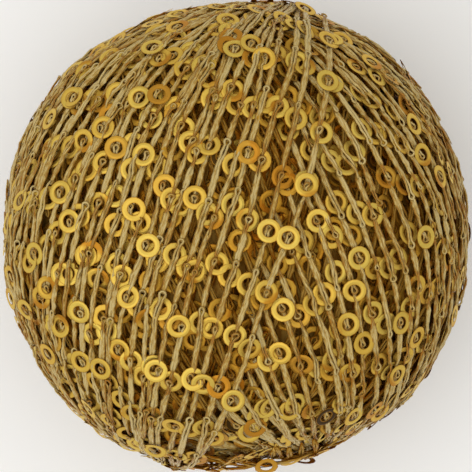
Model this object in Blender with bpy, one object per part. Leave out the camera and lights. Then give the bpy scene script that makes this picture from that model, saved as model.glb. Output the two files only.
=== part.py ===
"""A small machine-wound ball of sequin yarn, lying on its side.

Units are metres, +Z is up. The winding axis is Y. The ball stands on a small flat spot, and the origin is in
the middle of its underside.
"""

import math

import bmesh
import bpy
from mathutils import Matrix, Vector

# Driving dimensions of the wound form
BALL_WIDTH = 0.0600
BALL_LENGTH = 0.0620
BALL_HEIGHT = 0.0500
FACE_FLATNESS = 2.7
FLAT_SPOT_DEPTH = 0.0007

# Driving dimensions of the winding
WIND_ANGLE = math.radians(19.4)
NEWEST_TURN = math.radians(-14.8)
LAYER_STEP = 0.0010
BAND_COUNT = 22
BAND_RELIEF = 0.00045
# The share of half a round over which the newest band's edge rises, and the packed turns' level at both ends
EDGE_SHARE = 0.035
END_LEVEL = -0.6 * LAYER_STEP

# Off the axis, where the bands rise out of the packed turns round each end
BANDS_START = 0.0095
BANDS_FULL = 0.0200
# Out from the middle of the underside, where the pressed ridges recover
PRESSED_START = 0.0080
PRESSED_END = 0.0160

# Dimples that the winder leaves at both ends of the axis
DIMPLE_RADIUS = 0.0085
DIMPLE_DEPTH = 0.0048

# How finely the surface is divided, round the axis and from end to end
COLUMNS = 116
ROWS = 36

HALF_TURN = math.pi
WHOLE_TURN = 2.0 * math.pi


def clear_scene():
    for old in list(bpy.data.objects):
        bpy.data.objects.remove(old, do_unlink=True)


def smooth_step(low, high, value):
    share = min(1.0, max(0.0, (value - low) / (high - low)))
    return share * share * (3.0 - 2.0 * share)


def wound_radius(way):
    """Distance from the ball's middle to its plain wound form, along the unit vector way."""
    plan = math.hypot(2.0 * way.x / BALL_WIDTH, 2.0 * way.y / BALL_LENGTH)
    height = abs(2.0 * way.z / BALL_HEIGHT)
    return (plan**FACE_FLATNESS + height**FACE_FLATNESS) ** (-1.0 / FACE_FLATNESS)


def turns_through(way):
    """The angles round the axis of the two yarn turns that pass through the direction way.

    A turn is the ball's section by a plane through its middle, leaning WIND_ANGLE from the axis.
    """
    azimuth = math.atan2(way.z, way.x)
    across = max(1e-9, math.hypot(way.x, way.z))
    lean = math.tan(WIND_ANGLE) * way.y / across
    spread = math.acos(max(-1.0, min(1.0, lean)))
    return azimuth - spread, azimuth + spread


def age_of(turn):
    """0 for the turn laid last, 1 for the one laid half a round of the ball before it."""
    return ((turn - NEWEST_TURN) % WHOLE_TURN) / HALF_TURN


def winding_relief(way, point):
    """Height of the top winding over the plain form at point: each band's ridge, and the newest band's step."""
    newest = min(turns_through(way), key=age_of)
    ridge = BAND_RELIEF * math.cos(BAND_COUNT * newest)
    if point.z < 0.0:
        ridge *= smooth_step(PRESSED_START, PRESSED_END, math.hypot(point.x, point.y))
    edge = 1.0 - smooth_step(0.0, EDGE_SHARE, age_of(newest))
    return ridge - LAYER_STEP * max(age_of(newest), edge)


def surface_point(way):
    point = way * wound_radius(way)
    off_axis = math.hypot(point.x, point.z)
    # No turn crosses the middle of an end, so the bands run out round it and the dimple takes their place.
    laid = smooth_step(BANDS_START, BANDS_FULL, off_axis)
    bowl = 1.0 - smooth_step(0.0, DIMPLE_RADIUS, off_axis)
    level = laid * winding_relief(way, point) + (1.0 - laid) * END_LEVEL
    return point + way * (level - bowl * DIMPLE_DEPTH)


def rest_on_flat_spot(mesh):
    """Cuts the underside flat and moves the ball so that the flat spot is at z = 0, centred in plan."""
    lowest = min(v.co.z for v in mesh.verts)
    everything = mesh.verts[:] + mesh.edges[:] + mesh.faces[:]
    cut = bmesh.ops.bisect_plane(
        mesh,
        geom=everything,
        plane_co=Vector((0.0, 0.0, lowest + FLAT_SPOT_DEPTH)),
        plane_no=Vector((0.0, 0.0, -1.0)),
        clear_outer=True,
    )
    rim = [e for e in cut["geom_cut"] if isinstance(e, bmesh.types.BMEdge)]
    bmesh.ops.contextual_create(mesh, geom=rim)
    low = Vector([min(v.co[i] for v in mesh.verts) for i in range(3)])
    high = Vector([max(v.co[i] for v in mesh.verts) for i in range(3)])
    middle = (low + high) / 2.0
    bmesh.ops.translate(mesh, verts=mesh.verts[:], vec=Vector((-middle.x, -middle.y, -low.z)))


def make_yarn_ball():
    mesh = bmesh.new()
    bmesh.ops.create_uvsphere(mesh, u_segments=COLUMNS, v_segments=ROWS, radius=1.0)
    bmesh.ops.rotate(mesh, verts=mesh.verts[:], matrix=Matrix.Rotation(-math.pi / 2.0, 3, "X"))
    for vertex in mesh.verts:
        vertex.co = surface_point(vertex.co.normalized())
    rest_on_flat_spot(mesh)
    bmesh.ops.triangulate(mesh, faces=mesh.faces[:])
    bmesh.ops.recalc_face_normals(mesh, faces=mesh.faces[:])
    data = bpy.data.meshes.new("yarn_ball")
    mesh.to_mesh(data)
    mesh.free()
    data.shade_smooth()
    data.set_sharp_from_angle(angle=math.radians(50.0))
    data.materials.append(gold_straw_yarn())
    ball = bpy.data.objects.new("yarn_ball", data)
    bpy.context.scene.collection.objects.link(ball)


def gold_straw_yarn():
    material = bpy.data.materials.new("gold_straw_yarn")
    material.use_nodes = True
    shader = material.node_tree.nodes["Principled BSDF"]
    shader.inputs["Base Color"].default_value = (0.45, 0.29, 0.07, 1.0)
    shader.inputs["Roughness"].default_value = 0.55
    shader.inputs["Metallic"].default_value = 0.3
    return material


clear_scene()
make_yarn_ball()
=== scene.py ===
"""A small machine-wound ball of gold sequin yarn, lying on its side and seen from straight above."""

import math

import bmesh
import bpy
import numpy as np
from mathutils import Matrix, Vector


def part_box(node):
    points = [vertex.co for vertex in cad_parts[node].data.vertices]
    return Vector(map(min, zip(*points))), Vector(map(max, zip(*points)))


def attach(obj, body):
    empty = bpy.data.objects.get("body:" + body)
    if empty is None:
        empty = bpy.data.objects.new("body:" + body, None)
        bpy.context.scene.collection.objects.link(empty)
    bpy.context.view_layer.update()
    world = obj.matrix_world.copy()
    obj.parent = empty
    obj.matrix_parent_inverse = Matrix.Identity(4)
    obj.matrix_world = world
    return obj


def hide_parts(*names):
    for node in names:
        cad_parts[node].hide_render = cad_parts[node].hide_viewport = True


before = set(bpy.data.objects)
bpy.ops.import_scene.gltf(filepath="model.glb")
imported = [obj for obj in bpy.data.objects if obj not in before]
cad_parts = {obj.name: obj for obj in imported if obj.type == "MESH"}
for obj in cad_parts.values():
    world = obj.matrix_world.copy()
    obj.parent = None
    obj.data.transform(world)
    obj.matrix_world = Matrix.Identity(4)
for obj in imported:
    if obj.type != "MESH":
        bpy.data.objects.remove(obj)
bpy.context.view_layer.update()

# The camera looks straight down at the ball's side, so that the winding axis runs up the picture, turned a
# little to the left. Its long lens stands for a product camera nearly half a metre away.
CAMERA_DISTANCE = 0.45
CAMERA_ROLL = math.radians(-4.0)
PICTURE_WIDTH = 0.0608
SENSOR_WIDTH = 36.0

ball_low, ball_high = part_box("yarn_ball")
ball_middle = (Vector(ball_low) + Vector(ball_high)) / 2.0
camera_data = bpy.data.cameras.new("camera")
camera_data.sensor_width = SENSOR_WIDTH
camera_data.lens = SENSOR_WIDTH * CAMERA_DISTANCE / PICTURE_WIDTH
camera = bpy.data.objects.new("camera", camera_data)
camera.location = ball_middle + Vector((0.0, 0.0, CAMERA_DISTANCE))
camera.rotation_euler = (0.0, 0.0, CAMERA_ROLL)
bpy.context.scene.collection.objects.link(camera)
bpy.context.scene.camera = camera

# The inner winding is all the yarn under the turns that can be told apart. It is packed thread and sequins
# in the dark, so it is one lumpy body painted brown and khaki as painted shade: the wound form's own solid,
# set back below its surface.
INNER_DEPTH = 0.0024
INNER_SMOOTHINGS = 4
MERGE_DISTANCE = 0.00001
INNER_SHADE_BROWN = (0.280, 0.120, 0.012, 1.0)
INNER_SHADE_KHAKI = (0.440, 0.240, 0.042, 1.0)
INNER_STRAND_SCALE = 900.0
INNER_STRAND_STRETCH = (1.0, 0.25, 1.0)
INNER_LUMPS = 0.0004


def new_material(name, roughness):
    material = bpy.data.materials.new(name)
    material.use_nodes = True
    shader = material.node_tree.nodes["Principled BSDF"]
    shader.inputs["Roughness"].default_value = roughness
    return material, material.node_tree, shader


def add_node(tree, kind, **settings):
    """A new node, with its sockets or else its own properties set by name."""
    node = tree.nodes.new(kind)
    for key, value in settings.items():
        if key in node.inputs:
            node.inputs[key].default_value = value
        else:
            setattr(node, key, value)
    return node


def colour_ramp(tree, stops):
    node = tree.nodes.new("ShaderNodeValToRGB")
    elements = node.color_ramp.elements
    while len(elements) < len(stops):
        elements.new(0.5)
    for element, (place, colour) in zip(elements, stops):
        element.position = place
        element.color = colour
    return node


def inner_winding():
    shell = bmesh.new()
    shell.from_mesh(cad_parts["yarn_ball"].data)
    bmesh.ops.remove_doubles(shell, verts=shell.verts[:], dist=MERGE_DISTANCE)
    bmesh.ops.recalc_face_normals(shell, faces=shell.faces[:])
    shell.normal_update()
    for vertex in shell.verts:
        vertex.co -= vertex.normal * INNER_DEPTH
    for _ in range(INNER_SMOOTHINGS):
        bmesh.ops.smooth_vert(
            shell, verts=shell.verts[:], factor=0.5, use_axis_x=True, use_axis_y=True, use_axis_z=True
        )
    data = bpy.data.meshes.new("inner_winding")
    shell.to_mesh(data)
    shell.free()
    data.shade_smooth()
    return data


def inner_winding_material():
    material, tree, shader = new_material("inner_winding_painted_shade", 0.9)
    shader.inputs["Specular IOR Level"].default_value = 0.1
    place = add_node(tree, "ShaderNodeTexCoord")
    stretch = add_node(tree, "ShaderNodeMapping", Scale=INNER_STRAND_STRETCH)
    strands = add_node(tree, "ShaderNodeTexNoise", Scale=INNER_STRAND_SCALE, Detail=3.0)
    # Painted shade: straw thread and gold film that lie in the dark, given as brown and khaki.
    colours = colour_ramp(tree, [(0.45, INNER_SHADE_BROWN), (0.62, INNER_SHADE_KHAKI)])
    bump = add_node(tree, "ShaderNodeBump", Strength=0.8, Distance=INNER_LUMPS)
    tree.links.new(place.outputs["Object"], stretch.inputs["Vector"])
    tree.links.new(stretch.outputs["Vector"], strands.inputs["Vector"])
    tree.links.new(strands.outputs["Fac"], colours.inputs["Fac"])
    tree.links.new(colours.outputs["Color"], shader.inputs["Base Color"])
    tree.links.new(strands.outputs["Fac"], bump.inputs["Height"])
    tree.links.new(bump.outputs["Normal"], shader.inputs["Normal"])
    return material


inner = bpy.data.objects.new("inner_winding", inner_winding())
inner.data.materials.clear()
inner.data.materials.append(inner_winding_material())
bpy.context.scene.collection.objects.link(inner)
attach(inner, "root")
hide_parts("yarn_ball")

# The yarn's path is one continuous winding, followed from its tucked outer end inwards. Each turn is the
# ball's section by a leaning plane through its middle, and the plane steps on round the axis turn by turn.
# Half a round covers the ball once, so a little over three of them give the three layers that show.
AXIS = np.array((0.0, 1.0, 0.0))
# The wound form: half its size each way, how square its section is, and the dimples at its ends
HALF_SIZE = np.array((0.0300, 0.0310, 0.0250))
FACE_FLATNESS = 2.7
MIDDLE_HEIGHT = 0.0242
DIMPLE_RADIUS = 0.0085
DIMPLE_DEPTH = 0.0048
# How far the newest and the older turns lean from the axis, the ages in layers between which that changes,
# and how much it wanders, with the shortest and longest waves of that
WIND_ANGLE = math.radians(19.4)
OLDER_ANGLE = math.radians(16.0)
LEAN_CHANGE = (0.2, 0.7)
LEAN_WANDER = math.radians(0.6)
LEAN_WAVES = (0.35, 1.2)
# How the turns are spaced, from the newest one, which lies at this angle round the axis
NEWEST_TURN = math.radians(-14.8)
TURN_PITCH = 0.00150
OLDER_PITCH = 0.00195
NEWEST_PITCHES = (2.0, 1.85, 1.5, 1.25, 1.1)
PITCH_UNEVENNESS = 0.24
ANGLE_STEPS = 6000
# The layers that show, the half rounds that are wound for them, and how the layers lie one under the other
LAYERS = 3
HALF_ROUNDS = 3.6
LAYER_STEP = 0.0010
OUTER_LEVEL = 0.0001
# Towards the poles, where a direction's y passes from one of these values to the other, the layers pile up
END_REGION = (0.72, 0.94)
END_PILE = 0.8
END_SINK = 0.0005
# The older turns across the dimples, the angle between two, and the first and last one's lean and level
END_TURNS = 32
END_STEP = 1.05
END_LEANS = (math.radians(14.5), math.radians(1.5))
END_LEVELS = (-0.0010, -0.0024)
# How far the yarn strays sideways and in height, with the shortest and longest waves of it
SWAY = 0.00024
SWAY_WAVES = (0.012, 0.06)
HEIGHT_SWAY = 0.00016
HEIGHT_WAVES = (0.008, 0.04)
HEIGHT_LIMITS = (-2.0, 1.2)
WAVES = 5
# The path's points, and its outer end, tucked in a quarter turn before the first one across the seen face
SAMPLES_PER_TURN = 360
TURN_LENGTH = 0.175
FIRST_TURN = -0.25
TUCK_LENGTH = 0.012
TUCK_DEPTH = 0.003
NEAR_ZERO = 1e-6

chance = np.random.default_rng(21)


def smooth_step(low, high, value):
    share = np.clip((value - low) / (high - low), 0.0, 1.0)
    return share * share * (3.0 - 2.0 * share)


def unit(vectors):
    return vectors / np.linalg.norm(vectors, axis=-1, keepdims=True)


def distance_along(points):
    """How far along its route each point lies. The last two axes of points are (station, 3)."""
    steps = np.linalg.norm(np.diff(points, axis=-2), axis=-1)
    return np.concatenate([np.zeros_like(steps[..., :1]), np.cumsum(steps, axis=-1)], axis=-1)


def wound_surface(way, level):
    """Points of the wound form in the unit directions way, raised by level, and the normals there."""
    share = way / HALF_SIZE
    plan = np.hypot(share[:, 0], share[:, 1])
    height = np.abs(share[:, 2])
    radius = (plan**FACE_FLATNESS + height**FACE_FLATNESS) ** (-1.0 / FACE_FLATNESS)
    off_axis = radius * np.hypot(way[:, 0], way[:, 2])
    bowl = 1.0 - smooth_step(0.0, DIMPLE_RADIUS, off_axis)
    steepness = np.maximum(plan, NEAR_ZERO) ** (FACE_FLATNESS - 2.0)
    normals = way / HALF_SIZE**2
    normals[:, :2] *= steepness[:, None]
    normals[:, 2] = np.sign(way[:, 2]) * height ** (FACE_FLATNESS - 1.0) / HALF_SIZE[2]
    normals = unit(normals)
    points = way * (radius - bowl * DIMPLE_DEPTH)[:, None] + normals * level[:, None]
    return points, normals


def wander(along, size, shortest, longest):
    """A smooth random wave along the yarn, the sum of a few sines."""
    wave = np.zeros_like(along)
    for _ in range(WAVES):
        length = chance.uniform(shortest, longest)
        wave += np.sin(along * 2.0 * math.pi / length + chance.uniform(0.0, 2.0 * math.pi))
    return size * wave / math.sqrt(WAVES / 2.0)


def turn_angles():
    """The angle round the axis of every turn, so spaced that they lie side by side at the ball's middle."""
    fine = np.linspace(0.0, HALF_ROUNDS * math.pi, ANGLE_STEPS)
    azimuth = NEWEST_TURN + math.pi / 2.0 + fine
    way = np.stack([np.cos(azimuth), np.zeros_like(azimuth), np.sin(azimuth)], axis=1)
    points, _ = wound_surface(way, np.zeros(len(way)))
    run = distance_along(points)
    quarter_run = np.interp(math.pi / 2.0, fine, run)
    places = [0.0]
    while places[-1] < run[-1]:
        # The newest quarter round is wound closer than the rest.
        pitch = TURN_PITCH if places[-1] < quarter_run else OLDER_PITCH
        pitch *= 1.0 + PITCH_UNEVENNESS * chance.uniform(-1.0, 1.0)
        if len(places) <= len(NEWEST_PITCHES):
            pitch = TURN_PITCH * NEWEST_PITCHES[len(places) - 1]
        places.append(places[-1] + pitch)
    return NEWEST_TURN + np.interp(places[:-1], run, fine)


def yarn_path():
    """The wound yarn's middle line, with its direction, normal, cover, height and distance along it."""
    layer_angles = turn_angles()
    last_layer_turn = len(layer_angles) - 1.0
    # Below the layers that cover the ball, older turns with less and less lean cross the dimples.
    angles = np.append(layer_angles, layer_angles[-1] + END_STEP * np.arange(1, END_TURNS + 1))
    turns = np.arange(FIRST_TURN, len(angles) - 1.0, 1.0 / SAMPLES_PER_TURN)
    angle = np.interp(turns, np.arange(len(angles)), angles)
    past = np.clip((turns - last_layer_turn) / END_TURNS, 0.0, 1.0)
    around = 2.0 * math.pi * turns
    age = (angle - angles[0]) / math.pi
    end_lean = END_LEANS[0] + past * (END_LEANS[1] - END_LEANS[0])
    layer_lean = WIND_ANGLE + smooth_step(*LEAN_CHANGE, age) * (OLDER_ANGLE - WIND_ANGLE)
    lean = np.where(past > 0.0, end_lean, layer_lean)
    lean = lean + wander(turns * TURN_LENGTH, LEAN_WANDER, *LEAN_WAVES)
    azimuth = angle + math.pi / 2.0
    across = np.stack([np.cos(azimuth), np.zeros_like(azimuth), np.sin(azimuth)], axis=1)
    aside = np.stack([np.sin(azimuth), np.zeros_like(azimuth), -np.cos(azimuth)], axis=1)
    upward = np.cos(lean)[:, None] * AXIS + np.sin(lean)[:, None] * aside
    way = unit(np.cos(around)[:, None] * across - np.sin(around)[:, None] * upward)
    at_end = smooth_step(*END_REGION, np.abs(way[:, 1]))
    level = OUTER_LEVEL - END_SINK * at_end - LAYER_STEP * age * (1.0 + END_PILE * at_end)
    end_level = END_LEVELS[0] + past * (END_LEVELS[1] - END_LEVELS[0])
    level = np.where(past > 0.0, end_level, level)
    # How many newer turns lie over each point: those of its own slant, and those that cross it.
    own = angle - angles[0]
    crossing = (angle - 2.0 * np.arctan2(way[:, 2], way[:, 0]) + angle) % (2.0 * math.pi)
    under_own = np.floor(own / (2.0 * math.pi))
    under_crossing = np.maximum(0.0, np.floor((own - crossing) / (2.0 * math.pi)) + 1.0)
    covered = np.where(past > 0.0, LAYERS, under_own + under_crossing)
    points, normals = wound_surface(way, level)
    run = distance_along(points)
    tuck = 1.0 - smooth_step(0.0, TUCK_LENGTH, run)
    side = unit(np.cross(unit(np.gradient(points, axis=0)), normals))
    lowest, highest = HEIGHT_LIMITS
    rise = np.clip(wander(run, HEIGHT_SWAY, *HEIGHT_WAVES), HEIGHT_SWAY * lowest, HEIGHT_SWAY * highest)
    sway = wander(run, SWAY, *SWAY_WAVES)
    points = points + side * sway[:, None] + normals * (rise - tuck * TUCK_DEPTH)[:, None]
    points[:, 2] += MIDDLE_HEIGHT
    return {
        "run": run,
        "point": points,
        "normal": normals,
        "ahead": unit(np.gradient(points, axis=0)),
        "covered": covered,
        "rise": rise / HEIGHT_SWAY,
    }


path = yarn_path()


def along_yarn(places, key):
    """The path's values at the given distances along it, in an array of the same shape as places."""
    values = path[key]
    if values.ndim == 1:
        return np.interp(places, path["run"], values)
    return np.stack([np.interp(places, path["run"], values[:, i]) for i in range(3)], axis=-1)


# The stitches. The yarn is a crochet chain of one fine straw-coloured multifilament thread, worked so that
# each chain catches one sequin. A stitch is a loop: a round head, and two legs that pass the sequin, lie
# flat side by side, and end pinched under the head of the next stitch.
STITCH_LENGTH = 0.00711
STITCH_UNEVENNESS = 0.075
FIRST_STITCH = 0.0063
PLAIN_INNER_END = 0.02
SEQUIN_RADIUS = 0.0015
# A stitch holds its ring in one of three ways: the head clear of the rim and the legs over the ring, the
# head in the hole and the legs drawn tight across the rim, or the head in the hole and the legs behind.
OVER, ACROSS, BEHIND = 0, 1, 2
KIND_SHARES = (0.38, 0.30, 0.32)
HEAD_BEYOND_RIM = 0.00055
HEAD_IN_HOLE = 0.00045
HEAD_STRAY = 0.00025
END_UNDER_NEXT = 0.00035
# This near the axis, the turns part and those below them lie open
END_OPEN = 0.0135
# What differs from stitch to stitch: the twist, how far apart the legs lie, and the thread's tint, with
# painted shade that makes it darker where the yarn lies lower
TWIST_STRAY = 0.6
SPREADS = (0.75, 1.25)
TINT_MEAN = 0.5
THREAD_SHADE_BY_HEIGHT = 0.16
TINT_UNEVENNESS = 0.22


def stitch_table():
    """One row for each stitch from the outer end inwards: its place, its kind and its small differences."""
    count = int((path["run"][-1] - PLAIN_INNER_END) / STITCH_LENGTH)
    lengths = STITCH_LENGTH * (1.0 + STITCH_UNEVENNESS * chance.uniform(-1.0, 1.0, count))
    place = FIRST_STITCH + np.cumsum(lengths)
    kind = chance.choice(3, size=count, p=KIND_SHARES)
    head = np.where(kind == OVER, -SEQUIN_RADIUS - HEAD_BEYOND_RIM, -HEAD_IN_HOLE)
    head = head + chance.uniform(-HEAD_STRAY, HEAD_STRAY, count)
    end = np.append((place + head)[1:] - place[:-1], STITCH_LENGTH) + END_UNDER_NEXT
    covered = np.round(along_yarn(place, "covered"))
    off_axis = np.linalg.norm(along_yarn(place, "point")[:, ::2] - (0.0, MIDDLE_HEIGHT), axis=1)
    covered[(off_axis < END_OPEN) & (covered == 2)] = 1
    twist = chance.normal(0.0, TWIST_STRAY, count)
    spread = chance.uniform(*SPREADS, count)
    # Painted shade: the thread is darker where the yarn lies lower and paler where it rides higher.
    tint = TINT_MEAN + THREAD_SHADE_BY_HEIGHT * along_yarn(place, "rise")
    tint = np.clip(tint + chance.normal(0.0, TINT_UNEVENNESS, count), 0.0, 1.0)
    return {
        "place": place,
        "kind": kind,
        "next_kind": np.append(kind[1:], OVER),
        "next_place": np.append(place[1:], place[-1] + STITCH_LENGTH),
        "head": head,
        "end": end,
        "covered": covered,
        "off_axis": off_axis,
        "twist": twist,
        "spread": spread,
        "tint": tint,
    }


stitches = stitch_table()


def rows_of(chosen):
    return {key: values[chosen] for key, values in stitches.items()}


# A thread's tube has few sides, since its fibres are in its material. Each tube's fibres start at a place
# of their own along the pattern, and no tube dips into the surface that the ball rests on.
TUBE_SIDES = 4
MILLIMETRES = 1000.0
FIBRE_SHIFT = 17.0
FLOOR_GAP = 0.00002


def lie_on_floor(points):
    """Keeps what would dip into the surface that the ball rests on just above it."""
    points[..., 2] = np.maximum(points[..., 2], FLOOR_GAP)
    return points


def set_values(data, name, values):
    """Gives each vertex of a mesh a value that its material reads."""
    attribute = data.attributes.new(name, "FLOAT", "POINT")
    attribute.data.foreach_set("value", values.astype(np.float32).ravel())


def joined_tubes(name, routes, normals, wide, high, tints):
    """One mesh of many like tubes. routes is (tube, station, 3), and the rest is given for each station.

    wide and high are half a section. The UV map runs round a tube in u, and along it in millimetres in v.
    """
    tubes, stations, _ = routes.shape
    ahead = unit(np.gradient(routes, axis=1))
    across = unit(np.cross(ahead, normals))
    outward = np.cross(across, ahead)
    turn = 2.0 * math.pi * np.arange(TUBE_SIDES) / TUBE_SIDES
    ring = across[:, :, None] * (wide[..., None] * np.cos(turn))[..., None]
    ring = ring + outward[:, :, None] * (high[..., None] * np.sin(turn))[..., None]
    points = lie_on_floor(routes[:, :, None] + ring).reshape(-1, 3)
    base = np.arange(tubes)[:, None] * stations * TUBE_SIDES
    first = base[..., None] + np.arange(stations - 1)[:, None] * TUBE_SIDES
    corner = np.arange(TUBE_SIDES)
    here = first + corner
    after = first + (corner + 1) % TUBE_SIDES
    walls = np.stack([here, after, after + TUBE_SIDES, here + TUBE_SIDES], axis=-1)
    start_caps = base + corner[::-1]
    end_caps = base + (stations - 1) * TUBE_SIDES + corner
    data = bpy.data.meshes.new(name)
    faces = walls.reshape(-1, 4).tolist() + start_caps.tolist() + end_caps.tolist()
    data.from_pydata(points, [], faces)
    run = MILLIMETRES * distance_along(routes) + FIBRE_SHIFT * tints[:, :1]
    start, finish = run[:, :-1, None], run[:, 1:, None]
    u = np.stack([corner, corner + 1, corner + 1, corner], axis=-1) / TUBE_SIDES
    v = np.stack([start, start, finish, finish], axis=-1)
    wall_uv = np.stack(np.broadcast_arrays(u, v), axis=-1).reshape(-1, 2)
    cap_uv = np.zeros((2 * tubes * TUBE_SIDES, 2))
    uv = data.uv_layers.new(name="thread")
    uv.uv.foreach_set("vector", np.concatenate([wall_uv, cap_uv]).astype(np.float32).ravel())
    set_values(data, "tint", np.repeat(tints.ravel(), TUBE_SIDES))
    data.shade_smooth()
    return data


# How the thread passes its ring: how high it rides, and over which distances from the ring's middle it is
# near the ring and in its hole
PASS_HEIGHT = 0.00024
NEAR_RING = (0.0011, 0.0024)
NEAR_HOLE = (0.0003, 0.0008)
RISE_IN_HOLE = 1.6
SINK_BEHIND = 0.7
# Where a thread is drawn tight: round the middle of its own ring's film, and before the next ring's middle
FILM_MIDDLE = 0.0011
FILM_REACH = (0.0004, 0.0009)
NEXT_FILM = (-0.0020, -0.0012)


def strand_points(rows, ahead_by, spread, lift):
    """Points ahead_by along the yarn from each stitch's place, spread and lifted, and the normals there."""
    places = rows["place"][:, None] + ahead_by
    normals = unit(along_yarn(places, "normal"))
    side = unit(np.cross(along_yarn(places, "ahead"), normals))
    roll = rows["twist"][:, None] * np.sin(ahead_by / STITCH_LENGTH * 2.0 * math.pi)
    aside = spread * np.cos(roll) - lift * np.sin(roll)
    raised = spread * np.sin(roll) + lift * np.cos(roll)
    return along_yarn(places, "point") + side * aside[..., None] + normals * raised[..., None], normals


def thread_lift(rows, ahead_by):
    """How high the thread rides, over or behind its sequin."""
    near = 1.0 - smooth_step(*NEAR_RING, np.abs(ahead_by))
    in_hole = 1.0 - smooth_step(*NEAR_HOLE, np.abs(ahead_by))
    over = PASS_HEIGHT * near
    behind = PASS_HEIGHT * (RISE_IN_HOLE * in_hole - SINK_BEHIND * near)
    return np.where(rows["kind"][:, None] == BEHIND, behind, over)


def drawn_tight(rows, ahead_by):
    """1 where the thread is drawn tight across its own or the next ring, so that the gold shows through."""
    at_film = 1.0 - smooth_step(*FILM_REACH, np.abs(ahead_by - FILM_MIDDLE))
    own = (rows["kind"] == ACROSS)[:, None] * at_film
    to_next = rows["place"][:, None] + ahead_by - rows["next_place"][:, None]
    later = (rows["next_kind"] == ACROSS)[:, None] * smooth_step(*NEXT_FILM, to_next)
    return np.maximum(own, later)


# Along a leg from its head, as a share of its length: its distance from the yarn's middle line, and half
# its width
LEG_SHAPE = (
    (0.000, 0.00000, 0.00015),
    (0.010, 0.00020, 0.00015),
    (0.035, 0.00033, 0.00015),
    (0.062, 0.00031, 0.00016),
    (0.105, 0.00017, 0.00017),
    (0.160, 0.00017, 0.00018),
    (0.230, 0.00020, 0.00019),
    (0.300, 0.00020, 0.00019),
    (0.370, 0.00018, 0.00020),
    (0.450, 0.00017, 0.00021),
    (0.540, 0.00018, 0.00022),
    (0.630, 0.00019, 0.00023),
    (0.730, 0.00019, 0.00023),
    (0.820, 0.00018, 0.00022),
    (0.910, 0.00015, 0.00020),
    (1.000, 0.00008, 0.00017),
)
LEG_FLATNESS = 0.75
# The share of a leg over which its round head stays true and stands up, and the share at its other end
# over which it dips under the next head
HEAD_SHARE = 0.10
HEAD_RISE = 0.00008
PINCH_FROM = 0.86
PINCH_DEPTH = 0.00016
# How much narrower and darker the thread is where it is drawn tight
TIGHT_SPREAD = 0.45
TIGHT_WIDTH = 0.35
TIGHT_TONE = 0.5
# How far a leg strays in place, width and tint
LEG_STRAY = 0.00004
WIDTH_STRAY = 0.06
LEG_TINT_STRAY = 0.20
# A head that stands clear of its sequin catches the light, and one in the hole is in the film's shade
HEAD_LIT = 0.45
HEAD_SHADED = -0.5
HEAD_TONE_SHARE = 0.04

twist_chance = np.random.default_rng(22)


def stitch_loops(name, chosen, shares):
    """The loops of the chosen stitches, each a tube up one leg, round the head and down the other leg."""
    rows = rows_of(chosen)
    shares = np.array(shares)
    profile = np.array(LEG_SHAPE)
    leg = np.concatenate([shares[:0:-1], shares])
    sign = np.concatenate([-np.ones(len(shares) - 1), np.ones(len(shares))])
    ahead_by = rows["head"][:, None] + leg * (rows["end"] - rows["head"])[:, None]
    tight = drawn_tight(rows, ahead_by)
    spread = np.interp(leg, profile[:, 0], profile[:, 1]) * sign
    spread = spread * rows["spread"][:, None] * (1.0 - TIGHT_SPREAD * tight)
    wide = np.interp(leg, profile[:, 0], profile[:, 2]) * (1.0 - TIGHT_WIDTH * tight)
    free = smooth_step(HEAD_SHARE, 2.0 * HEAD_SHARE, leg)
    spread = spread + free * chance.normal(0.0, LEG_STRAY, spread.shape)
    wide = wide * (1.0 + free * chance.normal(0.0, WIDTH_STRAY, wide.shape))
    lift = thread_lift(rows, ahead_by) + free * chance.normal(0.0, LEG_STRAY, spread.shape)
    lift = lift - PINCH_DEPTH * smooth_step(PINCH_FROM, 1.0, leg)
    lift = lift + HEAD_RISE * (1.0 - smooth_step(0.0, HEAD_SHARE, leg))
    routes, normals = strand_points(rows, ahead_by, spread, lift)
    head_tone = np.where(rows["kind"] == OVER, HEAD_LIT, HEAD_SHADED)[:, None]
    at_head = 1.0 - smooth_step(HEAD_TONE_SHARE, HEAD_SHARE, leg)
    tints = rows["tint"][:, None] * (1.0 - tight) - TIGHT_TONE * tight + head_tone * at_head
    # The thread's twist opens and closes along a leg, so that it is paler here and there.
    tints = tints + free * twist_chance.normal(0.0, LEG_TINT_STRAY, tints.shape)
    return joined_tubes(name, routes, normals, wide, LEG_FLATNESS * wide, tints)


# The thread between the legs, from past the ring's middle to short of the stitch's end: how deep it lies,
# how much deeper at its start, and how it swells
CORE_START = 0.0009
CORE_SHORT_BY = 0.0003
CORE_DEPTH = 0.00006
CORE_DIP = 0.0001
CORE_DIP_SHARE = 0.25
CORE_HALF_WIDTH = 0.00016
CORE_SWELL = 0.00008
CORE_TIGHT = 0.4
CORE_STATIONS = 5


def stitch_cores(name, chosen):
    """The thread that runs between the two legs, flat in the stitch's middle."""
    rows = rows_of(chosen)
    share = np.linspace(0.0, 1.0, CORE_STATIONS)
    ahead_by = CORE_START + share * (rows["end"] - CORE_START - CORE_SHORT_BY)[:, None]
    lift = -CORE_DEPTH - CORE_DIP * (1.0 - smooth_step(0.0, CORE_DIP_SHARE, share))
    routes, normals = strand_points(rows, ahead_by, 0.0, lift)
    tight = drawn_tight(rows, ahead_by)
    wide = (CORE_HALF_WIDTH + CORE_SWELL * np.sin(math.pi * share)) * (1.0 - CORE_TIGHT * tight)
    tints = rows["tint"][:, None] * (1.0 - tight) - TIGHT_TONE * tight
    return joined_tubes(name, routes, normals, wide, LEG_FLATNESS * wide, tints)


STRAW_AMBER = (0.38, 0.150, 0.004)
STRAW_DARK = (0.27, 0.125, 0.010)
STRAW = (0.43, 0.265, 0.048)
STRAW_PALE = (0.54, 0.410, 0.165)
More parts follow.
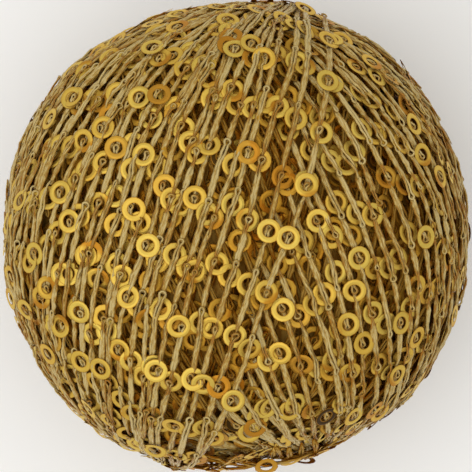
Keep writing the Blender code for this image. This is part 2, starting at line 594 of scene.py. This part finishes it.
# What is left of the thread's colour under one and under two layers of yarn and gold, and in the dimples
SHADE_SECOND = (0.62, 0.46, 0.21)
SHADE_THIRD = (0.70, 0.45, 0.15)
SHADE_DIMPLE = (0.84, 0.70, 0.42)
THREAD_ROUGHNESS = 0.34
THREAD_GLOSS = 0.45
GLOSS_INSIDE = 0.05
GLOSS_TINT = (1.0, 0.90, 0.65, 1.0)
SHEEN = 0.2
SHEEN_TINT = (0.95, 0.85, 0.6, 1.0)
# The fibres, long along the thread and turned a little by its twist, and how much they and the tint tell
FIBRE_STRETCH = (4.0, 0.9, 1.0)
FIBRE_TURN = (0.0, 0.0, 0.35)
FIBRE_SCALE = 1.4
FIBRE_HEIGHT = 0.00008
STREAKS_FROM = (0.31, 0.69)
STREAKS_TO = (0.0, 0.87)
TINT_TELLS = 0.48
# Round the thread, from its outer flank over the crown: the flank is painted darker and more amber, as
# painted shade
FLANK_TURN = math.radians(-60.0)
FLANK_PAINTED_SHADE = 0.24


def shaded(colour, shade):
    return tuple(part * left for part, left in zip(colour, shade)) + (1.0,)


def map_range(tree, source, target):
    """A node that maps the range source onto the range target, and holds at the ends."""
    node = tree.nodes.new("ShaderNodeMapRange")
    for key, value in zip(("From Min", "From Max", "To Min", "To Max"), source + target):
        node.inputs[key].default_value = value
    return node


def thread_material(name, gloss, shade=(1.0, 1.0, 1.0)):
    material, tree, shader = new_material(name, THREAD_ROUGHNESS)
    shader.inputs["Specular IOR Level"].default_value = gloss
    shader.inputs["Specular Tint"].default_value = GLOSS_TINT
    shader.inputs["Sheen Weight"].default_value = SHEEN * gloss
    shader.inputs["Sheen Tint"].default_value = SHEEN_TINT
    uv = add_node(tree, "ShaderNodeUVMap", uv_map="thread")
    stretch = add_node(tree, "ShaderNodeMapping", Scale=FIBRE_STRETCH, Rotation=FIBRE_TURN)
    fibres = add_node(tree, "ShaderNodeTexNoise", Scale=FIBRE_SCALE, Detail=4.0, Roughness=0.65)
    streaks = map_range(tree, STREAKS_FROM, STREAKS_TO)
    tint = add_node(tree, "ShaderNodeAttribute", attribute_name="tint")
    mixed = add_node(tree, "ShaderNodeMath", operation="MULTIPLY_ADD")
    mixed.inputs[1].default_value = TINT_TELLS
    # Painted shade: the thread is darker and more amber on its outer flanks than on its crown.
    split = add_node(tree, "ShaderNodeSeparateXYZ")
    turn = add_node(tree, "ShaderNodeMath", operation="MULTIPLY_ADD")
    turn.inputs[1].default_value = 2.0 * math.pi
    turn.inputs[2].default_value = FLANK_TURN
    crown = add_node(tree, "ShaderNodeMath", operation="SINE")
    flank_shaded = add_node(tree, "ShaderNodeMath", operation="MULTIPLY_ADD")
    flank_shaded.inputs[1].default_value = FLANK_PAINTED_SHADE
    stops = ((0.10, STRAW_AMBER), (0.42, STRAW_DARK), (0.68, STRAW), (1.0, STRAW_PALE))
    colours = colour_ramp(tree, [(stop, shaded(colour, shade)) for stop, colour in stops])
    bump = add_node(tree, "ShaderNodeBump", Strength=0.8, Distance=FIBRE_HEIGHT)
    tree.links.new(uv.outputs["UV"], stretch.inputs["Vector"])
    tree.links.new(stretch.outputs["Vector"], fibres.inputs["Vector"])
    tree.links.new(fibres.outputs["Fac"], streaks.inputs["Value"])
    tree.links.new(tint.outputs["Fac"], mixed.inputs[0])
    tree.links.new(streaks.outputs["Result"], mixed.inputs[2])
    tree.links.new(uv.outputs["UV"], split.inputs["Vector"])
    tree.links.new(split.outputs["X"], turn.inputs[0])
    tree.links.new(turn.outputs["Value"], crown.inputs[0])
    tree.links.new(crown.outputs["Value"], flank_shaded.inputs[0])
    tree.links.new(mixed.outputs["Value"], flank_shaded.inputs[2])
    tree.links.new(flank_shaded.outputs["Value"], colours.inputs["Fac"])
    tree.links.new(colours.outputs["Color"], shader.inputs["Base Color"])
    tree.links.new(fibres.outputs["Fac"], bump.inputs["Height"])
    tree.links.new(bump.outputs["Normal"], shader.inputs["Normal"])
    return material


def place_piece(data, material):
    piece = bpy.data.objects.new(data.name, data)
    data.materials.append(material)
    bpy.context.scene.collection.objects.link(piece)
    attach(piece, "root")


ALL_SHARES = [row[0] for row in LEG_SHAPE]
FEWER_SHARES = (0.0, 0.05, 0.23, 0.48, 0.70, 1.0)
# The older turns across the dimples are made only this far off the axis, where they can be seen
END_SEEN = 0.0125
covered = stitches["covered"]
outer = covered == 0
second = covered == 1
third = covered == 2
in_dimple = (covered == LAYERS) & (stitches["off_axis"] < END_SEEN)
newer_half = np.arange(len(covered)) < np.sum(outer) / 2
straw = thread_material("straw_thread", THREAD_GLOSS)
straw_second = thread_material("straw_thread_second_layer", GLOSS_INSIDE, SHADE_SECOND)
straw_third = thread_material("straw_thread_third_layer", GLOSS_INSIDE, SHADE_THIRD)
straw_dimple = thread_material("straw_thread_in_dimple", GLOSS_INSIDE, SHADE_DIMPLE)
place_piece(stitch_loops("outer_stitches", outer & newer_half, ALL_SHARES), straw)
place_piece(stitch_loops("outer_stitches_older", outer & ~newer_half, ALL_SHARES), straw)
place_piece(stitch_cores("outer_stitch_cores", outer), straw)
place_piece(stitch_loops("second_layer_stitches", second, FEWER_SHARES), straw_second)
place_piece(stitch_loops("third_layer_stitches", third, FEWER_SHARES), straw_third)
place_piece(stitch_loops("dimple_stitches", in_dimple, FEWER_SHARES), straw_dimple)

# The sequins are 3 mm rings punched from metallised gold film about 0.1 mm thick, a little dished, with a
# faint crease halfway from hole to rim. Each is caught in one stitch, and leans on the turns beside it.
SEQUIN_HOLE = 0.00078
SEQUIN_CREASE = 0.00118
CREASE_HEIGHT = 0.00005
SEQUIN_BEND = 0.00006
# How the rings lie in their stitches, in degrees, and how far aside and before or behind the thread
OVER_ROLL = 9.0
OTHER_ROLL = 4.0
ROLL_STRAY = 7.0
PITCH_STRAY = 6.5
LOOSER_INSIDE = 0.7
ASIDE_STRAY = 0.00022
ASIDE_LIMIT = 0.0005
RING_BEFORE = 1.1
RING_BEHIND = -0.9
# Each ring's gold, from 0 for the few rings painted near-black, as painted reflections of a dark part of
# the room, to 1 where it is palest; rings that lie lower are painted darker, as painted shade
GOLD_MEAN = 0.55
RING_SHADE_BY_HEIGHT = 0.12
GOLD_UNEVENNESS = 0.25
GOLD_LOWEST = 0.06
DARK_REFLECTION_SHARE = 0.012
AMBER_SIDE_SHARE = 0.35
AMBER_SIDES = (0.25, 0.65)
AMBER_REACH = 0.8

count = len(covered)
stitches["roll"] = chance.normal(0.0, 1.0, count)
stitches["pitch"] = chance.normal(0.0, 1.0, count)
stitches["aside"] = np.clip(chance.normal(0.0, ASIDE_STRAY, count), -ASIDE_LIMIT, ASIDE_LIMIT)
# Painted shade: rings that lie lower in the winding are darker.
gold = GOLD_MEAN + RING_SHADE_BY_HEIGHT * along_yarn(stitches["place"], "rise")
stitches["gold"] = np.clip(gold + chance.normal(0.0, GOLD_UNEVENNESS, count), GOLD_LOWEST, 1.0)
# A few rings are painted near-black: painted reflections of a dark part of the room.
stitches["gold"][chance.random(count) < DARK_REFLECTION_SHARE] = 0.0
stitches["bend"] = chance.normal(0.0, SEQUIN_BEND, count)
has_amber_side = chance.random(count) < AMBER_SIDE_SHARE
stitches["amber_side"] = np.where(has_amber_side, chance.uniform(*AMBER_SIDES, count), 0.0)


def sequin_ring(segments):
    """The corners and faces of one ring, its face up and its middle at the origin."""
    ring = bmesh.new()
    outline = [(SEQUIN_HOLE, 0.0), (SEQUIN_CREASE, CREASE_HEIGHT), (SEQUIN_RADIUS, 0.0)]
    corners = [ring.verts.new((radius, 0.0, height)) for radius, height in outline]
    edges = [ring.edges.new((corners[i], corners[(i + 1) % len(corners)])) for i in range(len(corners))]
    bmesh.ops.spin(
        ring,
        geom=corners + edges,
        cent=(0.0, 0.0, 0.0),
        axis=(0.0, 0.0, 1.0),
        angle=2.0 * math.pi,
        steps=segments,
        use_merge=True,
    )
    bmesh.ops.remove_doubles(ring, verts=ring.verts[:], dist=MERGE_DISTANCE)
    bmesh.ops.recalc_face_normals(ring, faces=ring.faces[:])
    ring.verts.index_update()
    points = np.array([v.co[:] for v in ring.verts])
    faces = np.array([[v.index for v in face.verts] for face in ring.faces])
    ring.free()
    return points, faces


def sequins(name, chosen, segments):
    """One mesh of the chosen stitches' sequins, each tilted as it lies on its neighbours."""
    rows = rows_of(chosen)
    kind = rows["kind"]
    middle = along_yarn(rows["place"], "point")
    normals = unit(along_yarn(rows["place"], "normal"))
    ahead = unit(along_yarn(rows["place"], "ahead"))
    side = unit(np.cross(ahead, normals))
    # The newer turn lies on this side of the yarn, and presses that edge of the ring down.
    newer = np.sign(np.einsum("ij,ij->i", side, np.cross(AXIS, normals)))
    # The rings of the older layers are pushed about more by the turns laid over them.
    loose = 1.0 + LOOSER_INSIDE * np.minimum(rows["covered"], 1.0)
    mean_roll = np.where(kind == OVER, OVER_ROLL, OTHER_ROLL)
    roll = np.radians(mean_roll + rows["roll"] * loose * ROLL_STRAY) * newer
    pitch = np.radians(rows["pitch"] * loose * PITCH_STRAY)
    lift = np.where(kind == BEHIND, RING_BEFORE, RING_BEHIND) * PASS_HEIGHT
    face_up = unit(normals + side * np.tan(roll)[:, None] + ahead * np.tan(pitch)[:, None])
    ring_x = unit(np.cross(ahead, face_up))
    ring_y = np.cross(face_up, ring_x)
    spin = rows["tint"] * 2.0 * math.pi
    turned_x = ring_x * np.cos(spin)[:, None] + ring_y * np.sin(spin)[:, None]
    turned_y = np.cross(face_up, turned_x)
    middle = middle + side * rows["aside"][:, None] + normals * lift[:, None]
    shape, faces = sequin_ring(segments)
    # The thin film is bent a little across each ring, up on one axis and down on the other.
    saddle = (shape[:, 0] ** 2 - shape[:, 1] ** 2) / SEQUIN_RADIUS**2
    height = shape[:, 2] + rows["bend"][:, None] * saddle
    points = (
        middle[:, None]
        + turned_x[:, None] * shape[None, :, :1]
        + turned_y[:, None] * shape[None, :, 1:2]
        + face_up[:, None] * height[..., None]
    )
    points = lie_on_floor(points).reshape(-1, 3)
    first = np.arange(len(kind)) * len(shape)
    data = bpy.data.meshes.new(name)
    data.from_pydata(points, [], (faces[None] + first[:, None, None]).reshape(-1, 4).tolist())
    # One side of some rings faces other rings instead of the light, and is amber.
    amber = rows["amber_side"][:, None] * smooth_step(0.0, AMBER_REACH, shape[:, 0] / SEQUIN_RADIUS)
    lowest = np.minimum(rows["gold"], GOLD_LOWEST)[:, None]
    set_values(data, "tint", np.maximum(rows["gold"][:, None] - amber, lowest))
    set_values(data, "rim", np.tile(shape[:, 2] < CREASE_HEIGHT / 2.0, len(kind)))
    data.shade_flat()
    return data


GOLD_DARK = (0.060, 0.030, 0.006)
GOLD_BROWN = (0.50, 0.22, 0.020)
GOLD = (0.68, 0.44, 0.068)
GOLD_YELLOW = (0.70, 0.505, 0.098)
# Towards both punched edges the film is painted browner: a painted reflection of the darker surroundings
# that a bevelled edge would mirror
RIM_REFLECTION_AMBER = (0.42, 0.19, 0.018)
RIM_FROM = 0.62
# The film of the older layers, seen by light that has already come off gold and straw
AMBER_SECOND = (0.76, 0.61, 0.40)
AMBER_THIRD = (0.74, 0.52, 0.26)
AMBER_DIMPLE = (0.92, 0.80, 0.60)
# The power of that shade that the few inner rings keep, where the light still falls straight in
LIT_INSIDE = 0.3
FILM_ROUGHNESS = (0.50, 0.60)
CLOUD_SCALE = 900.0
CLOUD_HEIGHT = 0.00005


def sequin_material(name, shade=(1.0, 1.0, 1.0)):
    material, tree, shader = new_material(name, FILM_ROUGHNESS[0])
    shader.inputs["Metallic"].default_value = 1.0
    tint = add_node(tree, "ShaderNodeAttribute", attribute_name="tint")
    stops = ((0.0, GOLD_DARK), (0.03, GOLD_DARK), (0.05, GOLD_BROWN), (0.25, GOLD), (0.85, GOLD_YELLOW))
    lit = tuple(left**LIT_INSIDE for left in shade)
    colours = [(stop, shaded(colour, shade)) for stop, colour in stops]
    colours = colour_ramp(tree, colours + [(1.0, shaded(GOLD_YELLOW, lit))])
    # Painted reflection: the film is browner towards the hole and the outer edge.
    rim = add_node(tree, "ShaderNodeAttribute", attribute_name="rim")
    at_edge = map_range(tree, (RIM_FROM, 1.0), (0.0, 1.0))
    edged = add_node(tree, "ShaderNodeMixRGB", Color2=shaded(RIM_REFLECTION_AMBER, shade))
    place = add_node(tree, "ShaderNodeTexCoord")
    cloud = add_node(tree, "ShaderNodeTexNoise", Scale=CLOUD_SCALE, Detail=2.0)
    rough = map_range(tree, (0.0, 1.0), FILM_ROUGHNESS)
    bump = add_node(tree, "ShaderNodeBump", Strength=0.2, Distance=CLOUD_HEIGHT)
    tree.links.new(tint.outputs["Fac"], colours.inputs["Fac"])
    tree.links.new(rim.outputs["Fac"], at_edge.inputs["Value"])
    tree.links.new(at_edge.outputs["Result"], edged.inputs["Fac"])
    tree.links.new(colours.outputs["Color"], edged.inputs["Color1"])
    tree.links.new(edged.outputs["Color"], shader.inputs["Base Color"])
    tree.links.new(place.outputs["Object"], cloud.inputs["Vector"])
    tree.links.new(cloud.outputs["Fac"], rough.inputs["Value"])
    tree.links.new(rough.outputs["Result"], shader.inputs["Roughness"])
    tree.links.new(cloud.outputs["Fac"], bump.inputs["Height"])
    tree.links.new(bump.outputs["Normal"], shader.inputs["Normal"])
    return material


# The segments of a ring, fewer for those that lie deeper
OUTER_SEGMENTS = 16
SECOND_SEGMENTS = 12
THIRD_SEGMENTS = 10
gold_film = sequin_material("gold_sequin_film")
gold_second = sequin_material("gold_sequin_film_second_layer", AMBER_SECOND)
gold_third = sequin_material("gold_sequin_film_third_layer", AMBER_THIRD)
gold_dimple = sequin_material("gold_sequin_film_in_dimple", AMBER_DIMPLE)
place_piece(sequins("outer_sequins", outer, OUTER_SEGMENTS), gold_film)
place_piece(sequins("second_layer_sequins", second, SECOND_SEGMENTS), gold_second)
place_piece(sequins("third_layer_sequins", third, THIRD_SEGMENTS), gold_third)
place_piece(sequins("dimple_sequins", in_dimple, SECOND_SEGMENTS), gold_dimple)

# The floor is a plain pale sheet. The light is one large soft box, high over the left of the picture, in a
# bright room with a paler ceiling.
FLOOR_SIZE = 6.0
FLOOR_COLOUR = (0.93, 0.93, 0.92, 1.0)
KEY_PLACE = (-0.32, -0.16, 0.68)
KEY_SIZE = 0.8
KEY_POWER = 1.85
ROOM_LIGHT = 1.02
ROOM_WALLS = (0.56, 0.56, 0.56, 1.0)
ROOM_CEILING = (1.0, 0.99, 0.97, 1.0)


def floor():
    sheet = bmesh.new()
    bmesh.ops.create_grid(sheet, x_segments=1, y_segments=1, size=FLOOR_SIZE / 2.0)
    data = bpy.data.meshes.new("floor")
    sheet.to_mesh(data)
    sheet.free()
    material, _, shader = new_material("pale_floor", 0.8)
    shader.inputs["Base Color"].default_value = FLOOR_COLOUR
    data.materials.append(material)
    sheet_object = bpy.data.objects.new("floor", data)
    bpy.context.scene.collection.objects.link(sheet_object)


def key_light():
    light = bpy.data.lights.new("key_light", "AREA")
    light.size = KEY_SIZE
    light.energy = KEY_POWER
    box = bpy.data.objects.new("key_light", light)
    box.location = KEY_PLACE
    box.rotation_euler = (ball_middle - Vector(KEY_PLACE)).to_track_quat("-Z", "Y").to_euler()
    bpy.context.scene.collection.objects.link(box)


def room():
    world = bpy.data.worlds.new("room")
    world.use_nodes = True
    tree = world.node_tree
    background = tree.nodes["Background"]
    place = add_node(tree, "ShaderNodeTexCoord")
    split = add_node(tree, "ShaderNodeSeparateXYZ")
    ramp = colour_ramp(tree, [(0.0, ROOM_WALLS), (0.35, ROOM_WALLS), (0.85, ROOM_CEILING)])
    background.inputs["Strength"].default_value = ROOM_LIGHT
    tree.links.new(place.outputs["Generated"], split.inputs["Vector"])
    tree.links.new(split.outputs["Z"], ramp.inputs["Fac"])
    tree.links.new(ramp.outputs["Color"], background.inputs["Color"])
    bpy.context.scene.world = world


floor()
key_light()
room()
bpy.context.scene.view_settings.view_transform = "Standard"
